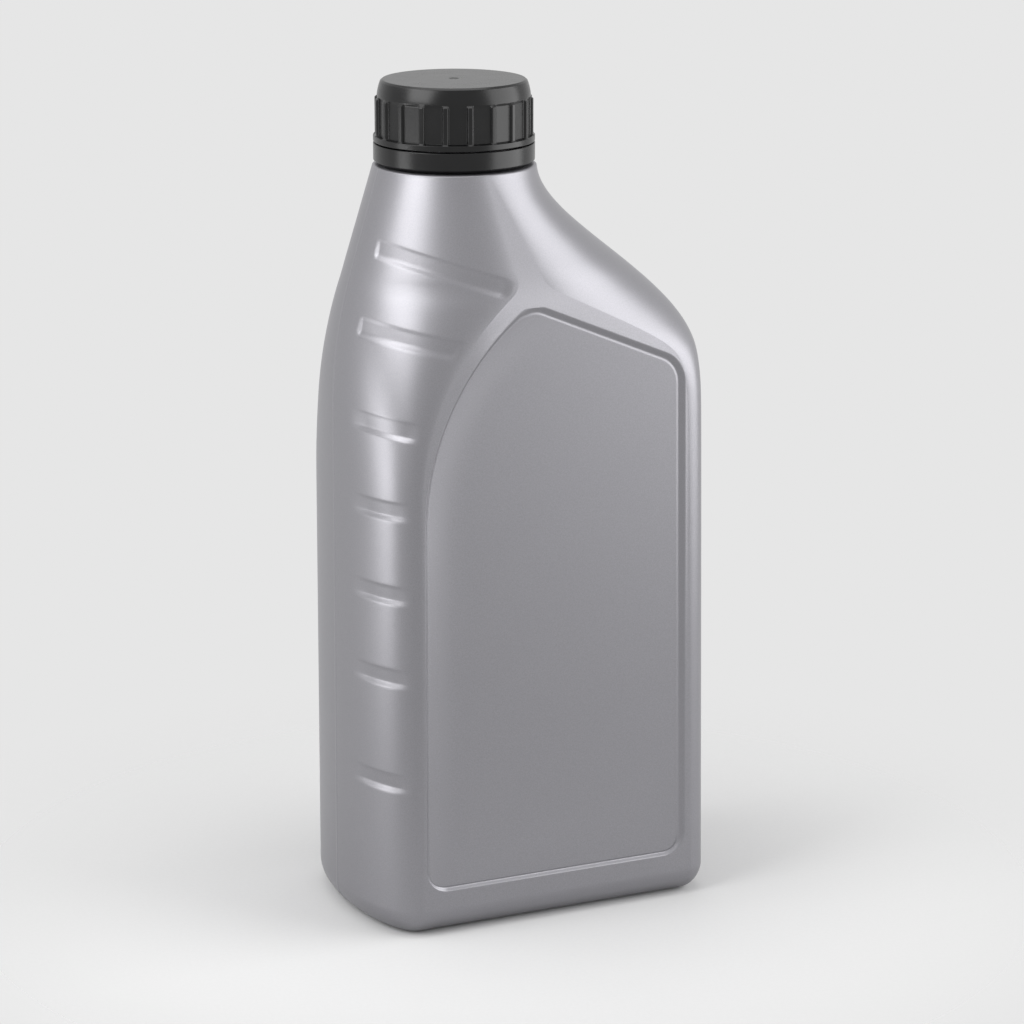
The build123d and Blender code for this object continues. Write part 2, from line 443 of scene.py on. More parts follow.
def groove_profile(lift):
    """The share of a groove's depth: a small step at the top, a long fall and a short lip that looks up."""
    half = groove_height / 2
    breaks = (-half, groove_lip - half, half - groove_step, half)
    fall = (groove_step_share - 1) / (groove_height - groove_lip - groove_step)
    slopes = (0.0, 1 / groove_lip, fall, -groove_step_share / groove_step, 0.0)
    share = 0.0
    for at, before, after in zip(breaks, slopes, slopes[1:]):
        share = share + (after - before) * soft_positive(lift - at, groove_soften)
    return share


def groove_cut(x, turn, height):
    """How deep the finger grooves are at a point of the grip."""
    cut = 0.0
    for share, tilt, end_turn, run_in, run_out in grooves:
        start = share * collar_height
        lift = (height - start + (x - grip_side(start)) * tan(radians(tilt))) * cos(radians(tilt))
        reach = eased(turn, groove_start, groove_start + run_in)
        reach = reach * (1 - eased(turn, end_turn - run_out, end_turn))
        cut = cut + groove_depth * groove_profile(lift) * reach
    return cut


def row_tilts():
    """Heights at the end of the grip oval and the tilts of the mesh rows there.

    With these tilts the rows follow the grooves.
    """
    keys = [(foot_round, 0.0)]
    for share, tilt, *_ in sorted(grooves):
        start = share * collar_height
        fall = tan(radians(tilt))
        end = start
        for _ in range(tilt_rounds):
            end = start - (face_span(end)[0] - grip_side(start)) * fall
        keys += [(end - groove_height / 2, fall), (end + groove_height / 2, fall)]
    keys.append((collar_height, 0.0))
    return np.array(keys).T


grip_rows = row_tilts()


def grip_height(turn, end_height):
    """The height along a mesh row of the grip, from the height at which the row ends on the front."""
    tilt = np.interp(end_height, *grip_rows)
    end_x = face_span(end_height)[0]
    height = end_height + 0 * turn
    for _ in range(row_rounds):
        left = face_span(height)[0]
        x = left - (left - grip_side(height)) * np.cos(np.radians(turn))
        height = end_height + tilt * (end_x - x)
    return np.minimum(height, collar_height)


def parting_ridge(y):
    """How far the fine ridge of the parting line stands out."""
    return parting_height * np.exp(-((y / parting_width) ** 2))


def grip_place(turn, height, level, inset, grooved):
    left, _, grip, _, deep, _ = section(level, inset)
    oval = left - grip
    x = left - oval * np.cos(np.radians(turn))
    y = -deep * np.sin(np.radians(turn))
    across, along = np.cos(np.radians(turn)) / oval, np.sin(np.radians(turn)) / deep
    size = np.sqrt(across**2 + along**2)
    inward = -parting_ridge(y)
    if grooved:
        inward = inward + groove_cut(x, turn, height)
    return np.stack([x + inward * across / size, y + inward * along / size, height + 0 * x], axis=-1)


def grooved_grip(turn, height, level, inset):
    return grip_place(turn, height, level, inset, True)


def plain_grip(turn, height, level, inset):
    return grip_place(turn, height, level, inset, False)


# The other runs of a section: the face, the heel corner and the flat of the heel


def strip_place(share, height, level, inset):
    left, right, _, _, deep, _ = section(level, inset)
    x = left + (right - left) * share
    return np.stack([x, -deep + 0 * x, height + 0 * x], axis=-1)


def crease_cut(level, width):
    """How much of the heel corner's oval the flat face cuts off, against the width that is left."""
    full = apex_height - crease_run
    neck_run = (sharp_span(apex_height)[1] - neck_x - seam_flat / 2) / (collar_height - apex_height)
    reach = crease_run * (1 / tan(radians(crease_slope)) - neck_run)
    gap = 0.0
    for shift in np.linspace(-apex_soften, apex_soften, apex_samples):
        share = np.clip((apex_height - level - shift) / crease_run, 0.0, 1.0)
        gap = gap + reach * (share - share**2 / 2) / apex_samples
    full_cut = reach / 2 / (heel_side(full) - face_span(full)[1])
    return np.where(level > full, gap / width, full_cut * eased(level, shoulder_foot, full))


def corner_place(turn, height, level, inset):
    """The heel corner; along the shoulder it meets the face at a crease, which fades at both ends."""
    _, right, _, heel, deep, corner = section(level, inset)
    cut = crease_cut(level, np.maximum(heel - right, heel_tip))
    start = np.arcsin(cut / (1 + cut))
    angle = start + (pi / 2 - start) * turn / 90
    x = right + (heel - right) * (np.sin(angle) - np.sin(start)) / (1 - np.sin(start))
    y = -(deep - corner) - corner * np.cos(angle) / np.cos(start)
    return np.stack([x, y, height + 0 * x], axis=-1)


def heel_place(share, height, level, inset):
    """The flat of the heel, with most of its columns near the parting line."""
    _, _, _, heel, deep, corner = section(level, inset)
    half = deep - corner
    near = np.minimum(heel_near_reach, half * heel_near_share)
    far_share = (share - heel_near_share) / (1 - heel_near_share)
    y = np.where(share < heel_near_share, near * share / heel_near_share, near + (half - near) * far_share)
    x = heel + parting_ridge(y)
    return np.stack([x, -y, height + 0 * x], axis=-1)


# Points inside the pieces, from which the normals look away


def body_inside(points):
    inside = np.zeros_like(points)
    inside[..., 0] = core_x
    inside[..., 2] = points[..., 2]
    return inside


def collar_inside(points):
    return np.zeros_like(points) + np.array([neck_x, 0.0, collar_height - collar_radius])


def foot_inside(points):
    return np.zeros_like(points) + np.array([0.0, 0.0, half_depth])


def neck_inside(points):
    inside = points.copy()
    inside[..., 0], inside[..., 1] = neck_x, 0.0
    return inside


# Columns and rows of the body's patches
grip_turns = 90 * np.linspace(0, 1, grip_columns) ** grip_crowding
strip_shares = np.linspace(0, 1, strip_columns)
corner_turns = np.linspace(0, 90, corner_columns)
heel_shares = np.linspace(0, 1, heel_columns)
low_count = int((front_foot - foot_round) / row_step) // row_group * row_group + 1
high_count = int((collar_height - front_foot) / row_step) + 1
low_rows = np.linspace(foot_round, front_foot, low_count)
high_rows = np.linspace(front_foot, collar_height, high_count)
all_rows = np.concatenate([low_rows, high_rows[1:]])
heel_rows = np.concatenate([low_rows[::row_group], high_rows[1:]])

# The runs of a half section after the grip, each with its columns and rows
runs = (
    (strip_place, strip_shares, high_rows),
    (corner_place, corner_turns, heel_rows),
    (heel_place, heel_shares, heel_rows),
)
foot_runs = ((plain_grip, grip_turns, all_rows), *runs)


def both_sides(skin, points, normals):
    skin.grid(points, normals)
    skin.grid(points * mirror_y, normals * mirror_y)


def add_grip(skin, place, side):
    def placed(turn, end_height):
        height = grip_height(turn, end_height)
        return place(turn, height, height, 0.0) * np.array([1.0, -side, 1.0])

    skin.grid(*patch(placed, grip_turns, all_rows, body_inside))


def border_lean(points, normals):
    """Turns the normals of the border above the panel up and to the heel, as its slight lean does."""
    height = points[..., 2:]
    share = eased(height, face_arc_foot, crease_height)
    share = share * (1 - eased(height, front_foot, front_foot + border_fade))
    share = share * eased(points[..., :1], border_start, neck_x)
    return unit(normals + tan(radians(border_tilt)) * share * np.array(border_way))


def add_body_sides(skin):
    for place, columns, rows in runs:
        points, normals = patch(lambda u, v: place(u, v, v, 0.0), columns, rows, body_inside)
        if place is strip_place:
            normals = border_lean(points, normals)
        both_sides(skin, points, normals)


def foot_place(place):
    """Rounds the lowest section over into the base."""
    def placed(u, turn):
        rise = foot_round * (1 - np.cos(turn))
        inset = foot_round * (1 - np.sin(turn))
        return place(u, rise, foot_round + 0 * turn, inset)

    return placed


def add_foot(skin):
    turns = np.linspace(0, pi / 2, foot_rows)
    for place, columns, _ in foot_runs:
        both_sides(skin, *patch(foot_place(place), columns, turns, foot_inside))


def collar_place(place):
    """Rounds the top section over into the collar's flat, and runs it in to the neck."""
    ledge = collar_radius - collar_step - collar_edge

    def placed(u, step):
        edge = place(u, collar_height + 0 * u, collar_height + 0 * u, 0.0)
        axis = np.array([neck_x, 0.0, 0.0])
        flat = (edge - axis) * np.array([1.0, 1.0, 0.0])
        ring = np.linalg.norm(flat, axis=-1, keepdims=True)
        turn = np.clip(step, 0, 1)[..., None] * pi / 2
        inner = np.clip(step - 1, 0, 1)[..., None]
        radius = ring + (ledge - ring) * (1 - np.cos(turn))
        radius = radius + (neck_radius + collar_edge - ledge) * inner
        rise = collar_edge * np.sin(turn)
        return axis + flat / ring * radius + np.array([0, 0, 1.0]) * (collar_height + rise)

    return placed


def add_collar(skin):
    # up to 1 the edge rounds over, and from 1 to 2 the flat runs in
    steps = np.concatenate([np.linspace(0, 1, collar_rows), [1.5, 2.0]])
    for place, columns, _ in foot_runs:
        both_sides(skin, *patch(collar_place(place), columns, steps, collar_inside))


# Outlines made of arcs whose ends are joined by straight lines


def arc_points(centre, radius, start, end, count):
    turns = np.radians(np.linspace(start, end, count))
    ways = np.stack([np.cos(turns), np.sin(turns)], axis=-1)
    return np.array(centre) + radius * ways, ways


def panel_outline():
    """Points of the label panel's outline in X and Z, and the ways out of it."""
    slope, tilt = radians(panel_top_slope), radians(heel_draft)
    right = heel_upright(panel_bottom) - heel_round - panel_right_gap
    foot = panel_foot_corner
    side_way = np.array([cos(tilt), sin(tilt)])
    top_way = np.array([sin(slope), cos(slope)])
    side_reach = side_way @ np.array([right, panel_bottom])
    top_reach = top_way @ np.array([crease_x, crease_height - panel_top_gap])
    foot_centre = (right - foot * tan(tilt) - foot / cos(tilt), panel_bottom + foot)
    heel_centre = np.linalg.solve(
        np.array([side_way, top_way]), np.array([side_reach, top_reach]) - panel_heel_corner
    )
    radius = panel_arc_radius
    arc_centre = np.array([panel_left + radius, panel_arc_foot])
    # the apex corner touches the slanted top and, from inside, the long arc on the left
    along = np.array([-cos(slope), sin(slope)])
    away = top_reach - panel_apex_corner - top_way @ arc_centre
    apex_centre = arc_centre + top_way * away + along * sqrt((radius - panel_apex_corner) ** 2 - away**2)
    touch = np.degrees(atan2(*(apex_centre - arc_centre)[::-1]))
    pieces = [
        arc_points((panel_left + foot, panel_bottom + foot), foot, 180, 270, foot_arc_points),
        arc_points(foot_centre, foot, 270, 360 + heel_draft, foot_arc_points),
        arc_points(heel_centre, panel_heel_corner, heel_draft, 90 - panel_top_slope, heel_arc_points),
        arc_points(apex_centre, panel_apex_corner, 90 - panel_top_slope, touch, apex_arc_points),
        arc_points(arc_centre, radius, touch, 180, long_arc_points),
    ]
    points, ways = (np.concatenate(part) for part in zip(*pieces))
    keep = np.linalg.norm(points - np.roll(points, 1, axis=0), axis=1) > same_place
    return points[keep], ways[keep]


def rounded_box_outline(half_x, half_y, corner):
    pieces = []
    for quarter, (side_x, side_y) in enumerate(((1, 1), (-1, 1), (-1, -1), (1, -1))):
        centre = (side_x * (half_x - corner), side_y * (half_y - corner))
        pieces.append(arc_points(centre, corner, 90 * quarter, 90 * quarter + 90, foot_arc_points))
    points, ways = (np.concatenate(part) for part in zip(*pieces))
    return points, ways


# Fields sunk into a flat


def softened(keys):
    """Distances, depths and slopes of a profile given by corner points, with its corners rounded."""
    distance = np.arange(keys[0][0], keys[-1][0] + profile_slack, profile_step)
    depth = np.interp(distance, *zip(*keys))
    width = int(edge_soften / profile_step) * 2 + 1
    for _ in range(2):
        padded = np.pad(depth, width // 2, mode="edge")
        depth = np.convolve(padded, np.ones(width) / width, mode="valid")
    slope = np.gradient(depth, distance)
    return distance[::profile_group], depth[::profile_group], slope[::profile_group]


def panel_ease(flat):
    """The share that the panel's depth loses in the cove along its left edge, and how that share changes."""
    out = flat - np.array([panel_left + panel_arc_radius, panel_arc_foot])
    out[..., 1] = np.maximum(out[..., 1], 0.0)
    reach = np.linalg.norm(out, axis=-1, keepdims=True)
    rest = np.clip(1 - (panel_arc_radius - reach) / panel_cove, 0.0, 1.0)
    growth = 2 * panel_cove_shade * panel_cove_share / panel_cove
    return panel_cove_share * rest**2, growth * rest * out / reach


def no_ease(flat):
    return 0 * flat[..., :1], 0 * flat


def wall_run(ways, left_run, foot_run):
    """The share of its width that the wall of a field keeps on its way round."""
    left = (1 - left_run) * eased(-ways[:, :1], *left_facing)
    foot = (1 - foot_run) * eased(-ways[:, 1:], *foot_facing)
    return (1 - left) * (1 - foot)


def add_sunk_field(skin, outline, keys, plane, ease=no_ease, left_run=1, foot_run=1):
    """A field sunk into a plane: its wall follows the outline and its floor is filled.

    The plane is its origin, its two ways and the way in. Returns the outer loop.
    """
    points, ways = outline
    origin, first, second, inward = np.array(plane, float)
    distance, depth, slope = softened(keys)
    run = wall_run(ways, left_run, foot_run)
    flat = points[None] - ways[None] * run * distance[:, None, None]
    middle = flat[-1].mean(axis=0)
    shrink = np.linspace(1, 0, field_rings)[1:]
    floor = middle + (flat[-1] - middle)[None] * shrink[:, None, None]
    flat = np.concatenate([flat, floor])
    depth = np.concatenate([depth, depth[-1] + 0 * shrink])[:, None, None]
    slope = np.concatenate([slope, 0 * shrink])[:, None, None] / run
    share, change = ease(flat)
    climb = -slope * ways[None] * (1 - share) - depth * change
    placed = origin + flat[..., :1] * first + flat[..., 1:] * second + depth * (1 - share) * inward
    normals = unit(climb[..., :1] * first + climb[..., 1:] * second - inward)
    skin.grid(placed, normals, closed=True)
    return placed[0]


def add_flat(skin, loops, normal, drop):
    """Fills a flat between loops; drop is the axis they share a value on. High borders look up a little."""
    kept = [axis for axis in range(3) if axis != drop]
    flat = [[Vector((*point[kept], 0)) for point in loop] for loop in loops]
    points = np.concatenate(loops)
    normals = border_lean(points, np.zeros_like(points) + np.array(normal, float))
    skin.add(points, normals, tessellate_polygon(flat))


def face_loop():
    """The edge of the flat of the front face, from its lower left round to the left again."""
    side_rows = low_rows[::row_group]
    left, right = face_span(low_rows)[0], face_span(side_rows)[1]
    foot_span, top_span = face_span(foot_round), face_span(front_foot)
    bottom = [(foot_span[0] + (foot_span[1] - foot_span[0]) * share, foot_round) for share in strip_shares]
    side = list(zip(right, side_rows))[1:-1]
    top = [(top_span[0] + (top_span[1] - top_span[0]) * share, front_foot) for share in strip_shares[::-1]]
    grip = list(zip(left, low_rows))[::-1][1:-1]
    return np.array([(x, -half_depth, z) for x, z in bottom + side + top + grip])


def add_faces(skin):
    pad_start = panel_run + panel_pad_gap
    pad_end = pad_start + panel_pad
    pad_depth = panel_depth - panel_pad
    keys = (
        (panel_start, 0.0),
        (0.0, 0.0),
        (panel_run, panel_depth),
        (pad_start, panel_depth),
        (pad_end, pad_depth),
        (pad_end + panel_floor_run, pad_depth),
    )
    outer = face_loop()
    for side in (-1.0, 1.0):
        plane = ((0, side * half_depth, 0), (1, 0, 0), (0, 0, 1), (0, -side, 0))
        inner = add_sunk_field(skin, panel_outline(), keys, plane, panel_ease, panel_left_run, panel_foot_run)
        add_flat(skin, [outer * np.array([1, -side, 1]), inner], (0, side, 0), 1)


def add_base(skin):
    foot = [foot_place(place)(columns, 0 * columns)[:-1] for place, columns, _ in foot_runs]
    # the runs go from the grip to the front and to the heel, and the last one from the parting line out
    foot[-1] = foot_place(heel_place)(heel_shares[::-1], 0 * heel_shares)[:-1]
    half = np.concatenate(foot)
    last = foot_place(heel_place)(np.zeros(1), np.zeros(1))
    loop = np.concatenate([half, last, (half * mirror_y)[:0:-1]])
    inset = push_up_inset + push_up_run
    outline = rounded_box_outline(half_width - inset, half_depth - inset, push_up_corner - push_up_run)
    keys = (
        (push_up_start, 0.0),
        (0.0, 0.0),
        (push_up_run, push_up),
        (push_up_run + push_up_floor_run, push_up),
    )
    inner = add_sunk_field(skin, outline, keys, ((0, 0, 0), (1, 0, 0), (0, 1, 0), (0, 0, 1)))
    add_flat(skin, [loop, inner], (0, 0, -1), 2)


# Turned pieces


def fillet_path(corners):
    """A path through (radius, height, rounding) corners, with its normals on the left of its run."""
    corners = [np.array(corner, float) for corner in corners]
    points, ways = [], []

    def left_of(start, end):
        run = unit(end[:2] - start[:2])
        return np.array([-run[1], run[0]])

    points.append(corners[0][:2])
    ways.append(left_of(corners[0], corners[1]))
    for before, here, after in zip(corners, corners[1:], corners[2:]):
        way_in, way_out = left_of(before, here), left_of(here, after)
        turn = atan2(way_in[0] * way_out[1] - way_in[1] * way_out[0], way_in @ way_out)
        side = 1 if turn > 0 else -1
        bisector = unit(way_in + way_out)
        centre = here[:2] + bisector * side * here[2] / cos(turn / 2)
        for spin in turn * np.linspace(0, 1, fillet_steps + 1):
            way = np.array([way_in[0] * cos(spin) - way_in[1] * sin(spin),
                            way_in[0] * sin(spin) + way_in[1] * cos(spin)])
            points.append(centre - way * side * here[2])
            ways.append(way)
    points.append(corners[-1][:2])
    ways.append(left_of(corners[-2], corners[-1]))
    return np.array(points), np.array(ways)


def add_turned(skin, corners):
    points, ways = fillet_path(corners)
    turns = np.linspace(0, 2 * pi, ring_segments, endpoint=False)
    ring = np.stack([np.cos(turns), np.sin(turns)], axis=-1)

    def spun(pairs, centre):
        flat = pairs[:, :1, None] * ring[None]
        flat = flat + np.array([centre, 0.0])
        height = np.repeat(pairs[:, 1:, None], ring_segments, axis=1)
        return np.concatenate([flat, height], axis=-1)

    skin.grid(spun(points, neck_x), spun(ways, 0.0), closed=True)


def add_thread(skin, radius, foot, facing):
    """A ridge that winds up the neck or the inside of the cap, with run-out ends."""
    total = 2 * pi * thread_turns

    def placed(turn, share):
        ends = np.clip(np.minimum(turn, total - turn) / thread_run_out, 0, 1)
        rise = smooth((1 - np.abs(share)) / thread_flank) * ends
        reach = radius + facing * (thread_crest * rise - thread_sink)
        height = foot + thread_pitch * turn / (2 * pi) + share * thread_half
        return np.stack([neck_x + reach * np.cos(turn), reach * np.sin(turn), height], axis=-1)

    turns = np.linspace(0, total, int(thread_turns * thread_segments))
    shares = np.linspace(-1, 1, thread_columns)
    skin.grid(*patch(placed, turns, shares, neck_inside, facing))


# The pieces of the bottle


def make_grip():
    skin = Skin()
    add_grip(skin, grooved_grip, -1.0)
    add_grip(skin, plain_grip, 1.0)
    return skin.build("bottle_grip")


def make_bottle():
    skin = Skin()
    add_body_sides(skin)
    add_foot(skin)
    add_faces(skin)
    add_base(skin)
    add_collar(skin)
    return skin.build("bottle_skin")


def make_neck():
    skin = Skin()
    bead_top = bead_foot + bead_land + bead_radius - neck_radius
    add_turned(skin, [
        (bore_radius, bore_foot, 0),
        (bore_radius, rim_height, wide_round),
        (neck_radius, rim_height, wide_round),
        (neck_radius, bead_top, soft_round),
        (bead_radius, bead_foot + bead_land, small_round),
        (bead_radius, bead_foot, fine_round),
        (neck_radius, bead_foot, small_round),
        (neck_radius, collar_top, wide_round),
        (neck_radius + collar_edge, collar_top, 0),
    ])
    add_thread(skin, neck_radius, thread_foot, 1)
    return skin.build("neck_finish")


def make_inside():
    """The hollow of the bottle, seen through the neck when the cap is off."""
    skin = Skin()
    top = collar_height - wall
    rows = np.linspace(foot_round, top, inside_rows)
    grip_run = (plain_grip, np.linspace(0, 90, inside_columns), rows)
    for place, columns, _ in (grip_run, *runs):
        both_sides(skin, *patch(lambda u, v: place(u, v, v + wall, 2 * wall), columns, rows, body_inside, -1))
    add_turned(skin, [(bore_radius, bore_foot, 0), (collar_radius, top, 0)])
    return skin.build("bottle_inside")


# The pieces of the closure


def rib_offset(turn):
    """The turn from the middle of the nearest rib."""
    return np.mod(turn - radians(rib_start) + rib_pitch / 2, rib_pitch) - rib_pitch / 2


def rib_mask(turn):
    """One on a rib and nought on the flats between them."""
    return step_mask(rib_width / 2 - np.abs(rib_offset(turn)) * rib_radius, 0.0, rib_soften)


def bevel_radius(height):
    """The rounded bevel, which runs out upright into the flats between the ribs."""
    share = np.clip((total_height - cap_edge_round - height) / (cap_bevel - cap_edge_round), 0, 1)
    return cap_top_radius + (recess_radius - cap_top_radius) * (1 - (1 - share) ** cap_bevel_skew)


def cap_side(turn, height):
    on_rib = rib_mask(turn)
    below = step_mask(-height, -bevel_foot, 2 * rib_soften)
    window = below * step_mask(height, flange_top, rib_soften)
    half_flat = rib_pitch / 2
    flat = recess_radius * (1 - cos(half_flat) / np.cos(half_flat - np.abs(rib_offset(turn))))
    reach = bevel_radius(height) + rib_floor * below * on_rib - flat * window * (1 - on_rib)
    low = step_mask(-height, -flange_top, rib_soften)
    reach = reach * (1 - low) + flange_radius * low
    return np.stack([neck_x + reach * np.cos(turn), reach * np.sin(turn), height + 0 * turn], axis=-1)


def add_cap_top(skin):
    gate_floor = total_height - gate_depth
    add_turned(skin, [
        (axis_radius, gate_floor, 0),
        (gate_radius, gate_floor, fine_round),
        (gate_radius + gate_slope, total_height, fine_round),
        (cap_top_radius - cap_top_inset, total_height, soft_round),
        (cap_top_radius, total_height - cap_edge_round, soft_round),
        (bevel_radius(bevel_seam), bevel_seam, 0),
    ])


def add_cap_side(skin):
    rows = list(np.linspace(flange_seam, bevel_seam, cap_rows))
    for edge in (bevel_foot, flange_top):
        rows += list(edge + np.linspace(-cap_edge_reach, cap_edge_reach, cap_edge_rows))
    rows = np.unique(np.round([row for row in rows if row >= flange_seam], cap_row_digits))
    turns = np.linspace(0, 2 * pi, rib_count * rib_columns, endpoint=False)
    skin.grid(*patch(cap_side, turns, rows, neck_inside), closed=True)


def add_cap_hollow(skin):
    add_turned(skin, [
        (flange_radius, flange_seam, 0),
        (flange_radius, cap_foot, small_round),
        (cap_inner_radius, cap_foot, small_round),
        (cap_inner_radius, liner_high.z, wide_round),
        (axis_radius, liner_high.z, 0),
    ])


def make_cap():
    skin = Skin()
    add_cap_top(skin)
    add_cap_side(skin)
    add_cap_hollow(skin)
    # half a pitch away from the thread of the neck, so that the two run between each other
    add_thread(skin, cap_inner_radius, thread_foot - thread_pitch / 2, -1)
    return skin.build("cap_shell")


def make_band():
    skin = Skin()
    foot, top = band_low.z, band_high.z
    middle = (foot + top) / 2
    add_turned(skin, [
        (flange_radius, middle, 0),
        (flange_radius, foot + band_round, fine_round),
        (flange_radius - band_round, foot, fine_round),
        (band_lip_radius, foot, fine_round),
        (band_lip_radius, foot + band_lip_height, fine_round),
        (band_inner_radius, foot + band_lip_height, fine_round),
        (band_inner_radius, top, fine_round),
        (flange_radius, top, fine_round),
        (flange_radius, middle, 0),
    ])
    return skin.build("tamper_ring")


def make_liner():
    skin = Skin()
    radius = (liner_high.x - liner_low.x) / 2
    add_turned(skin, [
        (axis_radius, liner_high.z, 0),
        (radius, liner_high.z, fine_round),
        (radius, liner_low.z, fine_round),
        (axis_radius, liner_low.z, 0),
    ])
    return skin.build("liner_disc")


# Looks: a pair is the darkest and the lightest colour, or the least and the most roughness
silver_colours = ((0.249, 0.246, 0.263), (0.288, 0.284, 0.304))
silver_roughness = (0.37, 0.42)
silver_metallic = 0.75
flake_scale = 5200
flake_bump = 0.04
silver_cloud_scale = 60
black_colours = ((0.002, 0.002, 0.0022), (0.0035, 0.0035, 0.0038))
black_roughness = (0.24, 0.29)
black_specular = 0.36
grain_scale = 3500
grain_bump = 0.05
black_cloud_scale = 220
foam_colours = ((0.68, 0.68, 0.65), (0.78, 0.78, 0.75))
foam_roughness = 0.8
foam_scale = 2500
floor_colours = ((0.700, 0.700, 0.700), (0.710, 0.710, 0.710))
floor_roughness = 0.9
floor_specular = 0.1
speckle_scale = 900
bump_distance = 0.0002
fine_detail = 2
cloud_detail = 3
ramp_ends = (0.35, 0.65)


def new_material(name):
    material = bpy.data.materials.new(name)
    material.use_nodes = True
    nodes = material.node_tree.nodes
    nodes.clear()
    output = nodes.new("ShaderNodeOutputMaterial")
    shader = nodes.new("ShaderNodeBsdfPrincipled")
    material.node_tree.links.new(shader.outputs["BSDF"], output.inputs["Surface"])
    return material, nodes, material.node_tree.links, shader


def noise(nodes, links, scale, detail):
    place = nodes.new("ShaderNodeTexCoord")
    made = nodes.new("ShaderNodeTexNoise")
    made.inputs["Scale"].default_value = scale
    made.inputs["Detail"].default_value = detail
    links.new(place.outputs["Object"], made.inputs["Vector"])
    return made.outputs["Fac"]


def add_colour(nodes, links, shader, source, colours):
    ramp = nodes.new("ShaderNodeValToRGB")
    for element, position, colour in zip(ramp.color_ramp.elements, ramp_ends, colours):
        element.position = position
        element.color = (*colour, 1)
    links.new(source, ramp.inputs["Fac"])
    links.new(ramp.outputs["Color"], shader.inputs["Base Color"])


def add_roughness(nodes, links, shader, source, ends):
    made = nodes.new("ShaderNodeMapRange")
    made.inputs["To Min"].default_value = ends[0]
    made.inputs["To Max"].default_value = ends[1]
    links.new(source, made.inputs["Value"])
    links.new(made.outputs["Result"], shader.inputs["Roughness"])


def add_bump(nodes, links, shader, source, strength):
    bump = nodes.new("ShaderNodeBump")
    bump.inputs["Strength"].default_value = strength
    bump.inputs["Distance"].default_value = bump_distance
    links.new(source, bump.inputs["Height"])
    links.new(bump.outputs["Normal"], shader.inputs["Normal"])


def silver_plastic():
    material, nodes, links, shader = new_material("silver_plastic")
    flakes = noise(nodes, links, flake_scale, fine_detail)
    clouds = noise(nodes, links, silver_cloud_scale, cloud_detail)
    shader.inputs["Metallic"].default_value = silver_metallic
    add_colour(nodes, links, shader, flakes, silver_colours)
    add_roughness(nodes, links, shader, clouds, silver_roughness)
    add_bump(nodes, links, shader, flakes, flake_bump)
    return material


def black_plastic():
    material, nodes, links, shader = new_material("black_plastic")
    grain = noise(nodes, links, grain_scale, fine_detail)
    clouds = noise(nodes, links, black_cloud_scale, cloud_detail)
    shader.inputs["Specular IOR Level"].default_value = black_specular
    add_colour(nodes, links, shader, clouds, black_colours)
    add_roughness(nodes, links, shader, clouds, black_roughness)
    add_bump(nodes, links, shader, grain, grain_bump)
    return material


def liner_foam():
    material, nodes, links, shader = new_material("liner_foam")
    shader.inputs["Roughness"].default_value = foam_roughness
    add_colour(nodes, links, shader, noise(nodes, links, foam_scale, cloud_detail), foam_colours)
    return material


def dress(piece, body, slot, material, *nodes):
    piece.data.materials.append(material)
    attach(piece, body)
    if nodes:
        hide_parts(*nodes)


silver, black, foam = silver_plastic(), black_plastic(), liner_foam()
dress(make_bottle(), "bottle", "bottle", silver, "bottle")
dress(make_grip(), "bottle", "bottle", silver, "bottle")
dress(make_neck(), "bottle", "bottle", silver)
dress(make_inside(), "bottle", "bottle", silver)
dress(make_cap(), "cap", "cap", black, "cap")
dress(make_band(), "tamper_band", "cap", black, "tamper_band")
dress(make_liner(), "cap", "liner", foam, "cap_liner")

# Floor, background and camera, which stands as it did for the photo
floor_clear = 0.07
floor_reach = 0.20
floor_edge = 0.05
floor_segments = 96
floor_rings = 12
background = 0.791
ambient = 0.42
camera_place = (-0.39232, -0.86017, 0.36269)
camera_way = (0.40343, 0.87773, -0.25853)
camera_lens = 123.05
camera_sensor = 36.0


def floor_material():
    """A pale floor that fades out at its edge into the background."""
    material, nodes, links, shader = new_material("pale_floor")
    output = next(node for node in nodes if node.type == "OUTPUT_MATERIAL")
    shader.inputs["Roughness"].default_value = floor_roughness
    shader.inputs["Specular IOR Level"].default_value = floor_specular
    add_colour(nodes, links, shader, noise(nodes, links, speckle_scale, fine_detail), floor_colours)
    place = nodes.new("ShaderNodeTexCoord")
    length = nodes.new("ShaderNodeVectorMath")
    length.operation = "LENGTH"
    links.new(place.outputs["Object"], length.inputs[0])
    fade = nodes.new("ShaderNodeMapRange")
    fade.interpolation_type = "SMOOTHSTEP"
    fade.inputs["From Min"].default_value = floor_clear
    fade.inputs["From Max"].default_value = floor_reach
    links.new(length.outputs["Value"], fade.inputs["Value"])
    clear = nodes.new("ShaderNodeBsdfTransparent")
    mix = nodes.new("ShaderNodeMixShader")
    links.new(fade.outputs["Result"], mix.inputs["Fac"])
    links.new(shader.outputs["BSDF"], mix.inputs[1])
    links.new(clear.outputs["BSDF"], mix.inputs[2])
    links.new(mix.outputs["Shader"], output.inputs["Surface"])
    return material


def make_floor():
    skin = Skin()
    turns = np.linspace(0, 2 * pi, floor_segments, endpoint=False)
    radii = np.linspace(0, floor_reach + floor_edge, floor_rings)
    ring = np.stack([np.cos(turns), np.sin(turns), 0 * turns], axis=-1)
    points = radii[:, None, None] * ring[None]
    skin.grid(points, np.zeros_like(points) + np.array([0, 0, 1.0]), closed=True)
    floor = skin.build("floor")
    floor.data.materials.append(floor_material())


def largest(nodes, links, first, second):
    made = nodes.new("ShaderNodeMath")
    made.operation = "MAXIMUM"
    links.new(first, made.inputs[0])
    links.new(second, made.inputs[1])
    return made.outputs[0]


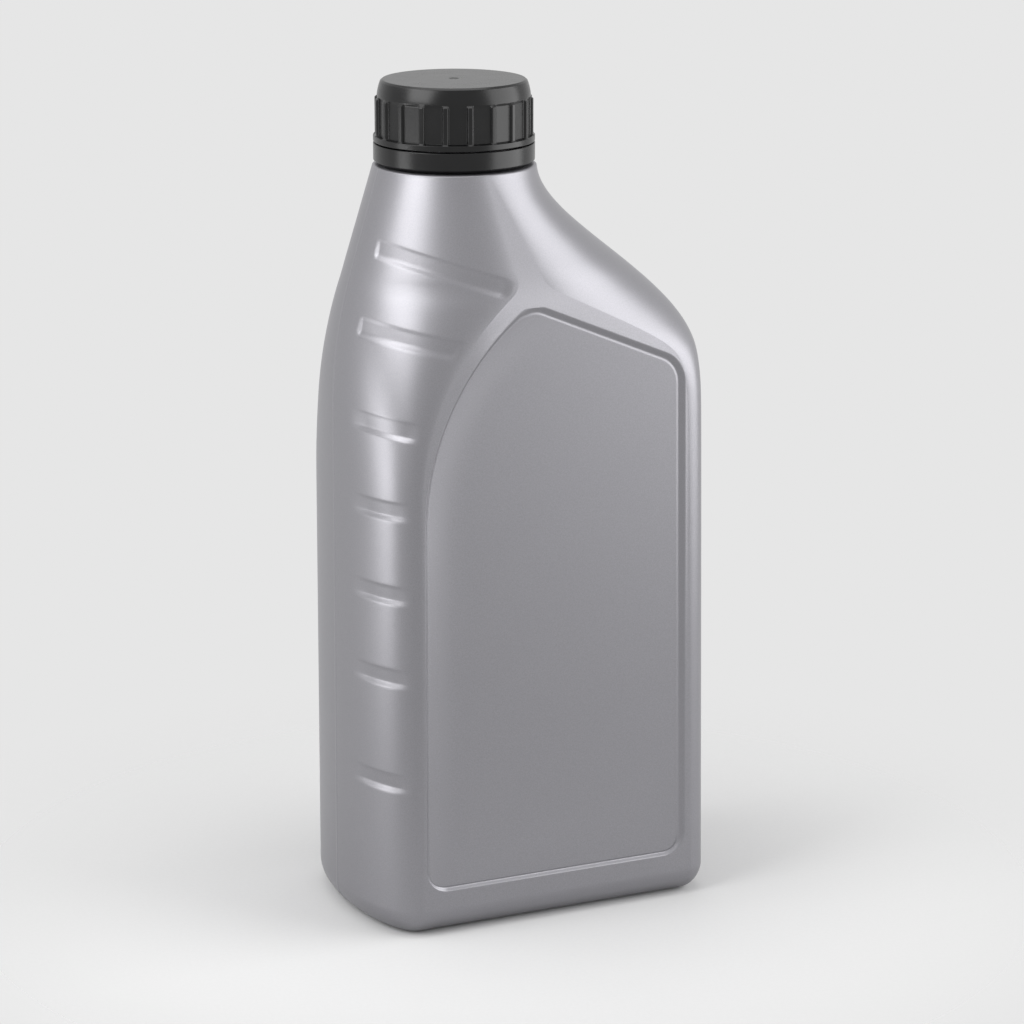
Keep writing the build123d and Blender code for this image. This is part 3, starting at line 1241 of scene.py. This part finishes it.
def make_world():
    """A pale background for what is seen or mirrored, and a weaker one for the light it gives."""
    world = bpy.data.worlds.new("studio")
    bpy.context.scene.world = world
    world.use_nodes = True
    nodes, links = world.node_tree.nodes, world.node_tree.links
    nodes.clear()
    output = nodes.new("ShaderNodeOutputWorld")
    seen, lit = nodes.new("ShaderNodeBackground"), nodes.new("ShaderNodeBackground")
    seen.inputs["Color"].default_value = (background, background, background, 1)
    lit.inputs["Color"].default_value = (background, background, background, 1)
    lit.inputs["Strength"].default_value = ambient
    rays = nodes.new("ShaderNodeLightPath").outputs
    straight = largest(nodes, links, rays["Is Camera Ray"], rays["Is Glossy Ray"])
    straight = largest(nodes, links, straight, rays["Is Transmission Ray"])
    mix = nodes.new("ShaderNodeMixShader")
    links.new(straight, mix.inputs["Fac"])
    links.new(lit.outputs[0], mix.inputs[1])
    links.new(seen.outputs[0], mix.inputs[2])
    links.new(mix.outputs[0], output.inputs["Surface"])


def make_camera():
    lens = bpy.data.cameras.new("photo_camera")
    lens.lens = camera_lens
    lens.sensor_width = camera_sensor
    camera = bpy.data.objects.new("photo_camera", lens)
    camera.location = camera_place
    camera.rotation_mode = "QUATERNION"
    camera.rotation_quaternion = Vector(camera_way).to_track_quat("-Z", "Y")
    bpy.context.scene.collection.objects.link(camera)
    bpy.context.scene.camera = camera


def around(azimuth, elevation, distance, height):
    """A place round the bottle; azimuth 0 is in front of it and 90 on its heel side."""
    turn, lift = radians(azimuth), radians(elevation)
    level = cos(lift) * distance
    return sin(turn) * level, -cos(turn) * level, height + sin(lift) * distance


def make_light(name, place, aim_height, width, height, power):
    lamp = bpy.data.lights.new(name, "AREA")
    lamp.shape = "RECTANGLE"
    lamp.size, lamp.size_y = width, height
    lamp.energy = power
    made = bpy.data.objects.new(name, lamp)
    made.location = place
    made.rotation_mode = "QUATERNION"
    made.rotation_quaternion = (Vector((0, 0, aim_height)) - Vector(place)).to_track_quat("-Z", "Y")
    bpy.context.scene.collection.objects.link(made)


# Soft boxes: name, place, height on the bottle's axis that they look at, width, height and watts
softboxes = (
    ("left_softbox", around(-77, 30, 0.48, 0.15), 0.17, 0.29, 0.32, 1.36),
    ("low_left_softbox", around(-98, 0, 0.46, 0.07), 0.06, 0.16, 0.16, 0.44),
    ("rear_left_softbox", around(-106, 48, 0.5, 0.15), 0.15, 0.22, 0.26, 0.4),
    ("right_softbox", around(58, 0, 0.5, 0.30), 0.24, 0.54, 0.58, 3.05),
    ("top_softbox", (0, 0.05, 0.75), 0.12, 0.5, 0.5, 1.6),
)

make_floor()
make_world()
make_camera()
for softbox in softboxes:
    make_light(*softbox)
bpy.context.scene.view_settings.view_transform = "Standard"
